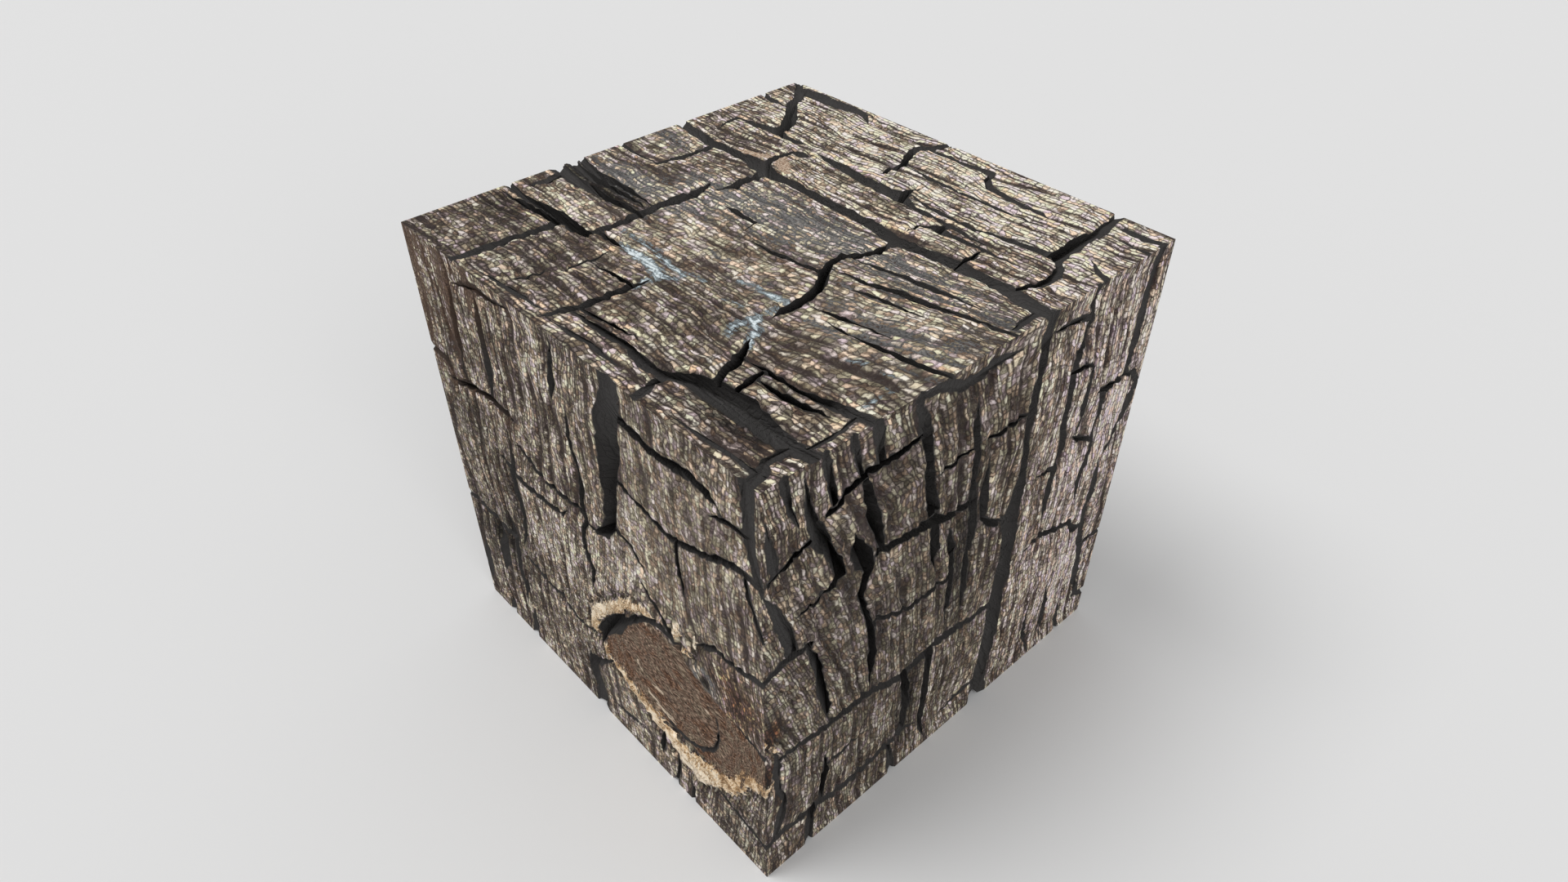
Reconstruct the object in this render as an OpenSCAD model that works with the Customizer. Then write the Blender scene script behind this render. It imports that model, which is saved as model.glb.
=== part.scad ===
// A cube sawn from a weathered timber post, split all over by drying checks.

/* [Block] */
// Side of the cube
side = 100; // [60:1:200]

/* [Drying checks] */
// Depth of a check for each millimetre that it is open at the face
depth_per_width = 4; // [1:0.25:5]
// Depth that no check passes
deepest = 14; // [4:0.5:18]
// Depth that an open check has run out to just past an edge of the block
edge_depth = 0.5; // [0.5:0.25:4]
// How much wider than drawn every check stands open
extra_opening = 0; // [0:0.1:1]

/* [Knot] */
// Distance of the knot's middle from the left edge of the front face
knot_x = 74; // [40:1:80]
// Height of the knot's middle above the bottom edge
knot_z = 31; // [30:1:60]
// Radius of the ring check inside the knot
knot_ring_r = 12.5; // [6:0.5:16]
// Width of the ring check at its widest
knot_ring_w = 1; // [0.5:0.1:2]
// Width of the open gap on the knot's upper left at its widest
knot_gap_w = 3.8; // [1:0.1:5]

/* [Hidden] */

// How far a cutting wedge stands out past the face, so that it cuts cleanly
overrun = 0.25;
// How far in from the edges of the block a check may be as deep as any
run_out = side / 5;
// Angle between the points of the ring check
ring_step = 15;

// Every check is a path of [across, up, opening], all three in hundredths of the side, because wood
// shrinks, and so opens, in proportion to its size. Across and up are measured from the face's lower
// left corner, and a check closes to nothing where its opening is 0.

// Top face: across runs to the right and up runs to the back. The grain runs across.
top_main = [
    [-2, 65.5, 2.4], [5, 65.5, 2.6], [11, 64.5, 2.6], [17, 65, 2.1], [23, 65.5, 3.2], [27, 65, 4.2],
    [31, 64, 3.2], [37, 64.5, 1.8], [45, 64, 2.4], [54, 64, 2.6], [60, 64, 2.8], [66, 63, 3.6],
    [72, 63.5, 2.4], [79, 64.5, 3.6], [86, 64.5, 2.3], [91, 64.5, 3.4], [96, 63.5, 3.4], [102, 63.5, 3]
];
top_splits = [
    [[5, 98, 2], [10, 98, 2.8], [15, 98, 2.4], [20, 98.5, 2], [24, 98, 1.6], [27, 96, 0]],
    [[-2, 89.5, 1.2], [4, 89, 1.6], [9, 89, 0]],
    [[5, 77, 0], [10, 77.5, 1.4], [16, 78.5, 2.6], [20, 78, 1.4], [26, 78.5, 0]],
    [[39, 97, 0], [44, 96, 1], [53, 96, 1.2], [61, 96.5, 1.8], [61.5, 94, 1.2], [64, 92, 2],
        [70, 90.5, 1.4], [78, 90.5, 0.8], [86, 90, 0]],
    [[30.5, 77.5, 0], [34, 77, 2], [40, 76.5, 2.6], [47, 76, 2.9], [54, 76, 3.6], [60, 74.5, 1],
        [67, 74.5, 0.8], [74, 73.5, 1], [81, 73.5, 0]],
    [[47, 86.5, 0], [54, 86, 0.9], [62, 85.5, 0.7], [72, 86, 0.9], [82, 87, 0]],
    [[55, 78.5, 0], [60, 77, 0.9], [66, 76.5, 0.9], [73, 76.5, 1.2], [78, 78, 1.2], [83, 78.5, 1.4],
        [89, 79.5, 2]],
    [[65, 70.5, 0], [69, 71.5, 1.8], [74, 71.5, 1], [79, 72, 0.7], [88, 72, 0]],
    [[91, 97, 0.8], [96, 96.5, 1.5], [102, 97, 1.6]],
    [[91, 93, 0], [96, 92.5, 1], [102, 91.5, 1]],
    [[94, 83, 0], [97, 80.5, 1], [102, 78, 1.6]],
    [[-2, 49.5, 1.2], [5, 50, 1.1], [11, 50, 0]],
    [[35, 48.5, 0], [39, 48.5, 1.3], [44, 48.5, 0.9], [44.5, 45, 0]],
    [[48, 43.5, 0], [54, 43.5, 0.9], [59, 44.5, 1], [65.5, 45.5, 1]],
    [[66, 52.5, 0], [72, 54, 0.9], [78, 55, 1.1], [85, 56, 0.9], [91, 56.5, 0]],
    [[66, 47.5, 0], [72, 48.5, 0.8], [79, 50.5, 1.3], [85, 51.5, 0.8], [94, 54, 0.6], [102, 54.5, 0.6]],
    [[72, 45.5, 0], [78, 46.5, 0.9], [88, 48, 0]],
    [[71, 36.5, 0], [77, 37.5, 1], [82, 39, 0.8], [87, 39.5, 0]],
    [[76, 35, 0], [86, 36, 0.8], [92, 37, 1.3], [102, 39, 1]],
    [[-2, 39.5, 1.6], [8, 39, 1.7], [16, 39.5, 1.2], [26, 38.5, 0]],
    [[-2, 37, 1.8], [10, 37.5, 1.8], [18, 38, 0.8], [25, 37.5, 0]],
    [[-2, 33.5, 3.2], [8, 34, 3.2], [16, 34.5, 2.2], [26, 35, 1.4]],
    [[-2, 22.5, 1.6], [6, 22.5, 1.2], [12, 23, 1.6], [18, 23.5, 2.4], [24, 22.5, 3], [27, 23.5, 1]],
    [[1, 20.5, 0], [8, 21, 1.2], [15, 21.5, 1.5], [19, 21.5, 1.5]],
    [[27, 25, 1], [31, 25, 1.3], [36, 25, 0]],
    [[36, 18, 0], [41, 18.5, 0.9], [46, 18.5, 0.8]],
    [[45, 8, 0.8], [52, 9, 0.9], [60, 10, 0]],
    [[45, 6.5, 0], [54, 7, 1.5], [61, 7.5, 1.2], [66, 6.5, 2], [70, 7, 2], [73, 9.5, 3], [78, 10.5, 4.4],
        [84, 11, 4.6], [90, 10.5, 3.4], [95, 10, 3], [102, 10.5, 2.2]],
    [[75, 19, 0], [80, 19.5, 0.9], [86, 19.5, 0.9], [92, 20.5, 2], [96, 21.5, 2.1], [102, 22, 1.6]],
    [[80, 17, 0], [86, 17, 1.4], [90, 17.5, 1.2], [95, 18.5, 0]],
    [[25, 2, 0], [31, 2.5, 1.2], [37, 3, 1.2], [43, 3.5, 0]],
    [[45, 2.5, 0], [52, 3, 1.2], [56, 3.5, 1.3], [63, 3.5, 0]],
    [[78, 1.5, 0], [86, 2, 1], [93, 2.5, 0.9], [98, 2.5, 1.2]]
];
top_cross_checks = [
    [[-1, 101, 1.6], [4, 97, 2], [6.5, 94.5, 2.1], [8, 91, 2.4], [10.5, 88.5, 2.5], [13.5, 85.5, 3.1],
        [16, 82, 3], [16.5, 79, 2.6]],
    [[5.5, 77, 0.9], [6, 73, 0.8], [7, 70, 0]],
    [[26.5, 66, 1.8], [26, 70, 1.3], [26.5, 74, 1.2], [28.5, 74.5, 2.2], [30.5, 75.5, 0]],
    [[48, 102, 1], [44, 96, 1.6], [42.5, 94.5, 2], [43.5, 91, 1.8], [46, 86.5, 1.2], [45.5, 83, 1.5],
        [45.5, 80, 0]],
    [[55, 76, 2.4], [54.5, 79, 1.8], [55, 81.5, 0]],
    [[69, 74.5, 0.8], [68.5, 72, 2.2], [65, 70, 1], [65, 67, 0]],
    [[79, 72, 0], [79, 69, 1.1], [79, 66, 0.9]],
    [[88, 102, 1.7], [88.5, 96, 2], [89, 92, 2.4], [88.5, 88, 3], [89, 84, 3], [89, 80, 3],
        [90.5, 78, 1.6], [92, 76.5, 1.2], [93, 74, 2.2], [93, 71, 1.6], [91, 66, 1]],
    [[13, 64, 1.3], [13, 56, 1.2], [12, 53, 1.2], [11.5, 50, 0.8]],
    [[29.5, 63.5, 2.3], [29.5, 59, 2.2], [30, 55, 2.2], [29, 51, 0]],
    [[25, 53.5, 0], [26.5, 51, 1], [27, 47, 2.8], [27, 43, 2.8], [26.5, 39.5, 1.9], [26.5, 36, 2.4],
        [27, 31, 1.8], [27, 27, 2], [26.5, 23.5, 1.4]],
    [[66.5, 62.5, 1.6], [66.5, 58, 1.7], [65.5, 54.5, 1.3], [63.5, 52, 1.8], [63.5, 49.5, 1.5],
        [64.5, 46.5, 1.7], [66.5, 44, 2.1], [68, 41.5, 1.8], [69, 38.5, 1.9], [69.5, 35, 2.4],
        [69.5, 32, 1.7], [69.5, 29.5, 0]],
    [[98, 62.5, 1.6], [98, 58.5, 1.6], [98.5, 55.5, 0.8]],
    [[2.5, 34, 1.8], [3, 28, 1.3], [2, 25, 0]],
    [[19, 22, 1.8], [19, 17, 2], [18.5, 12, 1.8], [18.5, 7, 2.2], [18.5, 2.5, 1.7], [18, -2, 1.5]],
    [[34.5, 23, 0], [34.5, 18, 0.9], [34, 12, 0]],
    [[32, 11, 0], [32, 8.5, 1.1], [30.5, 4.5, 0]],
    [[47, 22, 0], [46.5, 18, 1.5], [46, 14, 1.6], [46, 10, 1.9], [45.5, 7, 1.8], [44.5, 4, 1.4],
        [44, 1.5, 0]],
    [[71.5, 23, 0], [73.5, 20, 1.5], [75, 17, 2.2], [76, 13.5, 1.4], [77, 11.5, 1.4]],
    [[79.5, 19, 0.9], [80, 15, 1.1], [80.5, 12.5, 1]],
    [[97.5, 21, 0.9], [98, 16, 0.9], [97.5, 11, 0.9]],
    [[95.5, 9.5, 1.7], [95.5, 5, 1.6], [97, 3, 2], [98.5, -2, 2]],
    [[70.5, 6, 1.2], [72, 1, 1.6], [72, -2, 1.8]]
];

// Front face: across runs to the right. The grain runs up.
front_splits = [
    [[65, 102, 5], [64.5, 96, 4.6], [62.5, 90, 6.4], [62, 84, 6.4], [61, 78, 5.4], [60.5, 71, 3.8],
        [59.5, 65, 3.4], [57.5, 61.5, 2.4], [54.5, 59.5, 1.4], [51, 59.5, 0]],
    [[97, 102, 3.2], [97, 95, 3], [97.5, 88, 2.6], [98.5, 84, 2.2], [101, 79, 1.6]],
    [[96, 80, 0.9], [97, 76, 1.3], [99, 72, 1.2], [101, 68, 0.8]],
    [[14, 94, 0], [13, 86, 1.7], [12.5, 80, 1.7], [12, 74, 1.5], [12.5, 70, 1]],
    [[24, 96, 0], [23, 88, 1.7], [23, 80, 1.5], [22.5, 71.5, 1]],
    [[49, 99, 0], [47.5, 93, 1.3], [47, 89, 1.9], [45.5, 84, 0]],
    [[50, 85, 0], [49.5, 78, 0.9], [51, 73, 1.5], [51, 68, 2], [50.5, 63, 1.2], [51.5, 60, 0.9],
        [49.5, 56, 1.2], [49, 51, 1.5], [50.5, 47, 1.7], [50.5, 44, 1], [49.5, 41, 0]],
    [[79, 75, 0.9], [79, 70, 0.9], [80, 63, 0]],
    [[25.5, 66, 0], [25.5, 57, 1.4], [23.5, 53, 1.8], [23.5, 47, 2.2], [24, 42, 2], [23.5, 36, 1.2],
        [22, 32, 0]],
    [[17.5, 38, 0], [18, 32, 1.9], [17.5, 26, 2], [17.5, 20, 1.7], [18.5, 16, 1.6], [17.5, 10, 0]],
    [[11.5, 30, 1], [11.5, 26, 3], [11, 22, 4.2], [10.5, 18.5, 3.8], [9.5, 14.5, 0]],
    [[2, 20, 0], [1.5, 14, 2.2], [1, 10, 2.4], [0.5, 4, 0]],
    [[9, 7, 0], [9.5, 3, 2], [9, -2, 2.2]],
    [[19.5, 9, 0], [19, 4, 2], [19, -2, 2.2]],
    [[52.5, 20.5, 0], [50, 18.5, 1], [47.5, 16, 1.7], [44, 13.5, 3], [43.5, 10, 3.6], [45, 5, 3.4],
        [47, -2, 4]],
    [[69, 14, 0], [68.5, 11, 1.6], [68, 8, 1.6], [67.5, 5, 0]],
    [[73, 10, 0], [73, 5, 0.9], [72, -2, 1.4]],
    [[77, 8, 0], [77.5, 3, 1.1], [78, -2, 1.3]]
];
front_cross_checks = [
    [[65.5, 92.5, 1.6], [70, 92, 1.8], [74, 91, 1.4], [79, 91.5, 1.7], [84, 92.5, 2], [88, 91.5, 1.5],
        [91, 90, 0]],
    [[88, 87.5, 0], [92, 89, 1], [98, 89.5, 1]],
    [[62, 78, 0.9], [68, 77, 1], [73, 76, 1.1], [77, 75, 1.3], [81, 76, 1.3], [86, 77.5, 1.1],
        [90, 79.5, 1.5], [94, 81, 1.5], [98, 81, 1.1], [102, 81.5, 1]],
    [[61, 65, 0.8], [65.5, 64, 0.9], [69.5, 60, 0]],
    [[67, 57, 0], [70, 54, 0.9], [73, 51, 0.8], [75, 48, 0.9]],
    [[82, 52, 0], [84, 54, 1], [87.5, 56.5, 1.4], [91, 56.5, 1], [95, 57, 1.1], [98, 58.5, 1.3],
        [102, 59.5, 1.2]],
    [[-2, 72.5, 1.3], [2, 72, 1.5], [5.5, 71, 1.7], [6, 69, 0]],
    [[4.5, 67, 0], [8, 67.5, 1.3], [12, 69, 1.5], [18, 70.5, 1.3], [23, 71, 1.8], [27, 70.5, 1.4],
        [30, 70, 0]],
    [[15, 93.5, 0], [20, 95.5, 0.9], [24, 97, 1.3], [30, 97, 1.1], [36, 97.5, 0]],
    [[28, 63.5, 0], [31, 63, 1.1], [33.5, 62, 1.3], [37, 60, 0.5], [42, 60.5, 1.1], [46, 61, 1.1],
        [51, 61.5, 0.8]],
    [[18, 56.5, 0], [22, 55.5, 0.9], [26, 53.5, 1.4], [30, 53.5, 1.5], [36, 54, 1.3], [42, 55, 0.9],
        [44, 57, 0]],
    [[-2, 32.5, 1.1], [5, 32, 1.1], [10, 31.5, 1.1], [18, 30, 1.2]],
    [[22, 29, 0], [26, 27.5, 1.3], [32, 26.5, 1], [36, 27, 1.1], [38, 25, 0.9], [41, 24, 1.1],
        [47, 24.5, 0]],
    [[49, 5.5, 0], [55, 6, 0.9], [58.5, 7, 0.8], [62, 8, 0]],
    [[85, 13, 0], [90, 12, 1.1], [96, 10.5, 0.9], [102, 10, 0.9]],
    [[90, 40, 0], [94, 39, 1], [97, 38.5, 1.1], [102, 39.5, 1.1]]
];
// The open gap that skirts the knot: each point's place from the knot's middle, in radii of the ring
// check, and how open the gap is there as a part of its widest
knot_gap = [
    [-2, -0.64, 0], [-1.92, -0.24, 0.8], [-1.68, 0.08, 0.9], [-1.44, 0.32, 1], [-1.24, 0.6, 0.7],
    [-1.04, 0.76, 0.45], [-0.84, 0.96, 0.4], [-0.6, 1.16, 0.35], [-0.32, 1.32, 0.35],
    [-0.12, 1.4, 0.4], [0.24, 1.32, 0]
];
// Where the ring check starts and ends around the knot's middle, from the right, anticlockwise
knot_ring_from = -130;
knot_ring_to = 20;

// Right face: across runs to the back. The grain runs up and leans.
right_splits = [
    [[64, 102, 2.6], [64, 95, 2.6], [64, 88, 1.9], [63.5, 80, 2.6], [64, 72, 1.9], [64.5, 66, 2.1],
        [64, 60, 3.8], [63, 54.5, 5], [64, 48, 4.4], [64, 38, 5], [63.5, 30, 5], [63.5, 22, 4.6],
        [63, 14, 4.8], [62.5, -2, 5]],
    [[4, 102, 1.8], [4.5, 98, 1.6], [5.5, 94, 1], [8, 87, 0]],
    [[1, 94, 0], [1.5, 89, 1.4], [2.5, 84.5, 2.2], [3, 81.5, 1.2]],
    [[8.5, 97, 0], [9.5, 91, 1.6], [10.5, 87, 2.4], [11.5, 84, 3.4], [13, 81, 2.6], [14.5, 78, 1.8],
        [16, 75, 2.2], [17, 71.5, 2.8], [13, 70, 0]],
    [[12, 102, 1.2], [12.5, 98, 1.4], [14, 92, 1.6], [15, 88.5, 1.2]],
    [[17.5, 102, 1.4], [18, 98, 1.5], [19, 95, 1.3], [20.5, 90, 1.2]],
    [[22, 102, 1.8], [23, 98, 2.2], [24, 94, 1.9], [24.5, 90, 1.8]],
    [[21, 89.5, 1.4], [22.5, 84.5, 2.2], [24, 80, 2.4], [25.5, 75.5, 1.8], [26.5, 71, 1.2]],
    [[19.5, 79, 0], [20.5, 75, 3.2], [22, 72, 4.2], [23.5, 69, 2.6], [22, 63, 1.2], [24, 56, 1.3],
        [25, 52, 1.5], [26, 47, 1.9], [26, 42, 1.7], [26, 35, 0]],
    [[32, 102, 1.2], [32.5, 97, 1.3], [34, 93.5, 1.9], [35, 90, 2.2], [36, 85, 2.2], [37, 80, 2.5],
        [37.5, 76, 2.8], [39, 71, 2.8]],
    [[0, 80, 0], [2.5, 74.5, 1.7], [4, 70, 2.4], [5.5, 66, 2.3], [6.5, 61, 2.4]],
    [[9, 62, 0], [11.5, 56, 1.5], [13, 51, 2.2], [13.5, 45, 2.1], [15, 40, 1.3], [15.5, 35, 0]],
    [[39.5, 69, 2], [40.5, 61, 2.4], [41.5, 55, 0]],
    [[44, 64, 0], [45.5, 58, 1.7], [46.5, 50, 1.5], [47, 44, 1.5], [46.5, 36, 0]],
    [[47, 91, 0], [48, 84, 1.3], [49.5, 78, 1.3], [49.5, 72, 1.5], [50.5, 66, 2], [51.5, 60, 2.1],
        [51, 54, 1.7], [51, 48, 1.7], [51.5, 42, 1.3], [51.5, 35, 0]],
    [[53.5, 75, 0], [53.5, 66, 1.7], [54, 60, 1.3], [55, 58, 1]],
    [[3, 38, 0], [3, 33, 2.1], [3, 29, 1.5], [3.5, 25, 1.6], [5, 21, 1.1], [4, 16.5, 2.1], [3, 13, 1.7],
        [2, 10, 1]],
    [[36, 30, 1.6], [37.5, 24, 2.5], [38, 18, 2.6], [37, 10.5, 1.6]],
    [[43, 32, 2.2], [43, 24, 1.7], [43, 18, 1.9], [43, 12, 1.8], [43, 7, 1.3], [44.5, 2, 0]],
    [[15, 25, 0], [15.5, 20, 1.3], [14.5, 15, 1.3], [14, 10, 1.2]],
    [[12, 11, 1.8], [11.5, 4, 2], [11, -2, 2.1]],
    [[33.5, 9, 0.9], [34.5, 4, 2], [35, -2, 2.2]],
    [[77, 102, 1.3], [76.5, 97, 1.3], [77, 93, 1.7], [76.5, 88.5, 1.7], [75, 84.5, 1.9], [75.5, 80, 1.9],
        [75.5, 70, 1.6], [76.5, 65, 2.4], [76, 61, 1.9], [75, 57, 1.9], [74.5, 52, 1.6], [75, 45, 0]],
    [[82, 80, 0], [81.5, 74, 1.3], [81.5, 69, 1.4], [80.5, 65, 0]],
    [[87, 73, 1.2], [88, 70, 1.9], [88, 66, 1.7], [87, 62, 0.9], [88, 58, 1.4], [87, 54, 1.3],
        [86, 49.5, 1.6], [86.5, 44, 0]],
    [[96, 102, 2.2], [96, 96, 2.2], [95.5, 90, 2.3], [95.5, 84, 2.3], [95, 79, 2], [94.5, 73, 1]],
    [[92.5, 52, 0], [93, 44, 2], [92, 38, 2.8], [92.5, 34, 2.4], [92.5, 29, 2.1], [94, 24, 2.1],
        [94.5, 19, 2.1], [95.5, 14, 1.7], [97, 7, 1.4]],
    [[90, 11, 0], [90.5, 5, 1.3], [91.5, -2, 1.4]],
    [[83, 22, 0], [84, 14, 1.3], [84, 8, 1.1], [84.5, 1, 0]],
    [[77.5, 20, 0], [77, 13, 1.1], [77.5, 8, 1.3], [79, 5, 1.1], [80.5, 0, 0]]
];
right_cross_checks = [
    [[1, 81, 1.2], [5, 82, 0.9], [10, 84, 1.2]],
    [[13, 87, 1], [16.5, 88, 1.3], [19, 90, 1.5], [22, 90.5, 1.6], [29, 90, 1.3], [34, 91, 1]],
    [[31, 99.5, 1.6], [36, 99, 2], [39.5, 97.5, 2.2], [42, 96, 2.2], [46, 96, 2.4], [51, 96.5, 1.9],
        [57.5, 96, 0]],
    [[7, 69, 0], [12, 69.5, 0.9], [18, 71, 1]],
    [[25, 71, 1.5], [28, 70.5, 1.3], [32, 70, 1.8], [36, 69.5, 2.4], [39.5, 69, 2.8], [42, 67.5, 1.8],
        [45, 67, 1.5], [50, 66, 1.5]],
    [[-2, 59, 1.1], [3, 60, 1.5], [7, 60.5, 1.7], [11, 60, 1]],
    [[24.5, 53.5, 1.3], [29, 52.5, 1.1], [32, 51, 1.1], [36, 50, 1.3], [41, 50, 1.1], [47, 50.5, 0.9]],
    [[39, 79.5, 0], [43, 79.5, 0.8], [48, 80, 0.5]],
    [[51, 80, 0], [55, 79.5, 1.1], [64, 80, 0.8]],
    [[54.5, 59, 1], [56.5, 57, 1.5], [59, 55.5, 1.5], [62, 55.5, 1.2]],
    [[3, 34.5, 0.8], [8, 34.5, 0.9], [13, 34, 1.7], [20, 33.5, 2], [27, 33.5, 2], [31, 31.5, 1.9],
        [35, 30.5, 1.9], [39, 31, 2.4], [44, 32.5, 2.4], [49, 32, 2.2], [55, 31, 1.7], [62, 31, 1.8]],
    [[-2, 10.5, 1.5], [4, 10.5, 1.5], [12, 10.5, 2], [18, 9, 1.8], [25, 9, 2], [31, 10, 1.7],
        [37, 10.5, 1.4], [41, 10, 0]],
    [[15, 21, 1], [20, 21.5, 0.9], [26, 22, 0]],
    [[49, 5.5, 0], [54, 7, 1.3], [61, 7.5, 1.1]],
    [[66, 95, 0], [69, 95, 0.9], [73, 94.5, 1.1], [77, 93.5, 1.3]],
    [[75.5, 82, 1.1], [78, 82, 1.3], [80.5, 81.5, 1.1], [82.5, 79.5, 0]],
    [[69.5, 60.5, 0], [73, 60, 1.1], [75.5, 59.5, 1.2]],
    [[79.5, 65, 0], [82, 63, 1.3], [84.5, 61.5, 1.1], [88, 59.5, 0.9]],
    [[85.5, 72.5, 0], [89, 72, 1.9], [95, 72.5, 1.2], [97.5, 71.5, 1.1], [99.5, 68.5, 1.4], [98.5, 65, 2],
        [97.5, 61, 1.3], [96, 58, 1.2], [93.5, 51, 0]],
    [[70, 40, 0], [75, 41, 1.1], [79, 40, 1.3], [82, 38.5, 1.5], [86, 38, 1.3], [88.5, 34, 1.7],
        [92.5, 33.5, 1.9]],
    [[94.5, 26.5, 0.9], [98, 26.5, 0.9], [102, 27, 0.9]],
    [[96, 8, 1.3], [99, 7, 2], [102, 7, 2]]
];

// Back face: across runs to the right, seen through the block from the front.
back_checks = [
    [[1, 102, 1.6], [3, 94, 2.2], [3, 84, 1.6], [5, 74, 1.2], [5, 66, 0]],
    [[48, 102, 1], [46, 92, 1.8], [48, 80, 2.4], [46, 66, 2.8], [47, 50, 2.2], [45, 38, 1.4], [45, 28, 0]],
    [[88, 102, 1.7], [87, 92, 2.4], [89, 78, 2], [87, 62, 1.4], [88, 52, 0]],
    [[22, 70, 0], [24, 56, 1.6], [23, 40, 2.4], [26, 22, 2], [25, -2, 1.6]],
    [[68, 46, 0], [66, 32, 2], [69, 16, 2.6], [67, -2, 2]],
    [[-2, 81, 1], [8, 82, 1.3], [20, 79, 1.1], [32, 81, 1.4], [47, 79, 1]],
    [[47, 62, 1.2], [58, 60, 1.4], [70, 62, 1.1], [80, 60, 0]],
    [[102, 27, 0.9], [92, 28, 1.3], [80, 26, 1.5], [67, 28, 1.2]],
    [[102, 7, 2], [92, 8, 1.5], [80, 7, 0]],
    [[24, 46, 1], [34, 47, 1.3], [46, 45, 1.1]],
    [[-2, 20, 1.2], [10, 21, 1.4], [25, 19, 1.2]]
];

// Left face: across runs to the back, seen through the block from the right.
left_checks = [
    [[65.5, 102, 2.4], [65, 92, 3], [66, 78, 2.4], [64.5, 62, 3.6], [65, 46, 3], [63.5, 30, 4],
        [64, 14, 3.4], [63, -2, 3]],
    [[38, 102, 1.8], [37, 90, 2.2], [39, 76, 1.6], [38, 64, 0]],
    [[33.5, 102, 3.2], [33, 92, 1.6], [34, 84, 0]],
    [[22.5, 102, 1.6], [21, 92, 1.3], [22, 82, 0]],
    [[89.5, 102, 1.2], [88, 88, 2], [90, 70, 2.6], [88, 54, 1.8], [89, 42, 0]],
    [[18, 60, 0], [20, 46, 2], [18, 30, 2.8], [20, 16, 2], [19, 6, 0]],
    [[46, 44, 0], [45, 28, 1.6], [47, 12, 2.2], [46, -2, 2]],
    [[82, 34, 0], [80, 20, 1.8], [81, -2, 1.6]],
    [[-2, 72.5, 1.3], [10, 73, 1.5], [24, 71, 1.3], [38, 72, 1.5]],
    [[-2, 32.5, 1.1], [10, 34, 1.4], [19, 33, 1.2]],
    [[20, 50, 1], [34, 52, 1.4], [48, 50, 1.5], [65, 52, 1.4]],
    [[65, 81, 1.2], [78, 80, 1.5], [89, 82, 1.2]],
    [[64, 24, 1.4], [74, 26, 1.3], [81, 25, 1]],
    [[102, 20, 1.2], [92, 19, 1.3], [81, 20, 1]]
];

// Bottom face: across runs to the right and up runs to the back, seen through the block from above.
bottom_checks = [
    [[102, 62.5, 5], [88, 64, 3.6], [72, 62, 2.6], [56, 64, 3], [40, 62.5, 2], [22, 64, 2.8], [-2, 63, 3]],
    [[102, 11, 2.1], [90, 12, 1.6], [76, 10, 1.3], [64, 12, 0]],
    [[102, 35, 2.2], [88, 34, 1.8], [74, 36, 1.2], [62, 35, 0]],
    [[102, 91.5, 1.4], [88, 90, 1.8], [70, 92, 1.2], [54, 90, 0]],
    [[-2, 46, 2], [14, 45, 1.6], [28, 47, 0]],
    [[-2, 81, 1.6], [14, 82, 2], [30, 80, 1.6], [44, 82, 0]],
    [[9, -2, 2.2], [10, 8, 1.8], [8, 20, 0]],
    [[19, -2, 2.2], [20, 12, 2], [18, 26, 1.4], [19, 38, 0]],
    [[47, -2, 4], [46, 10, 2.6], [48, 22, 1.4], [47, 32, 0]],
    [[72, -2, 1.4], [71, 10, 1.2]],
    [[67, 102, 2], [66, 88, 1.6], [68, 76, 1.2], [67, 63, 1]],
    [[25, 102, 1.6], [26, 90, 1.5], [25, 80, 1.2]]
];

// Depth of a check at a place on the face: deeper where it is wider, and shallow near the edges
function depth_of(at, opening) =
    let (
        from_edge = max(0, min(at.x, at.y, side - at.x, side - at.y)),
        share = min(1, pow(from_edge / run_out, 2))
    )
    min(opening * depth_per_width, edge_depth + (deepest - edge_depth) * share);

// Sideways lean of a check's walls. A closed end keeps the lean of the narrow checks.
function lean_of(opening, depth) = opening > 0 ? opening / depth / 2 : 0.5 / depth_per_width;

function unit(v) = v / norm(v);

// Direction across a path at one of its points, halfway between its two neighbours' own
function across_at(path, i) =
    let (last = len(path) - 1, ahead = path[min(i + 1, last)] - path[max(i - 1, 0)])
    unit([-ahead.y, ahead.x]);

// The point that lies this deep on the straight line from a place on the face to the block's heart
function towards_heart(at, depth) =
    let (heart = [side, side] / 2, inward = (heart - at) * depth / (side / 2))
    [at.x + inward.x, at.y + inward.y, -depth];

// The V that a check shows at one point of its path: two corners over the face and the root below it.
// The root points at the heart, so checks of neighbouring faces meet only at their common edge.
function v_section(path, i) =
    let (
        at = [path[i].x, path[i].y],
        opening = path[i].z,
        depth = depth_of(at, opening),
        half = across_at(path, i) * (opening / 2 + lean_of(opening, depth) * overrun)
    )
    [
        towards_heart(at + half, -overrun),
        towards_heart(at - half, -overrun),
        towards_heart(at, depth)
    ];

// Turns hundredths of the side into millimetres, and opens the check a little more where that is set
function on_face(path) = [
    for (p = path * side / 100) [p.x, p.y, p.z > 0 ? p.z + extra_opening : 0]
];

// One check, as a V swept along its path, on a face that looks up
module check(path) {
    ends = len(path) - 1;
    polyhedron(
        points = [for (i = [0:ends]) each v_section(path, i)],
        faces = [
            [0, 1, 2],
            [3 * ends + 2, 3 * ends + 1, 3 * ends],
            for (i = [0:ends - 1], corner = [0:2])
                let (a = 3 * i + corner, b = 3 * i + (corner + 1) % 3)
                each [[a, a + 3, b], [b, a + 3, b + 3]]
        ]
    );
}

module checks(paths) {
    for (path = paths) check(on_face(path));
}

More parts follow.
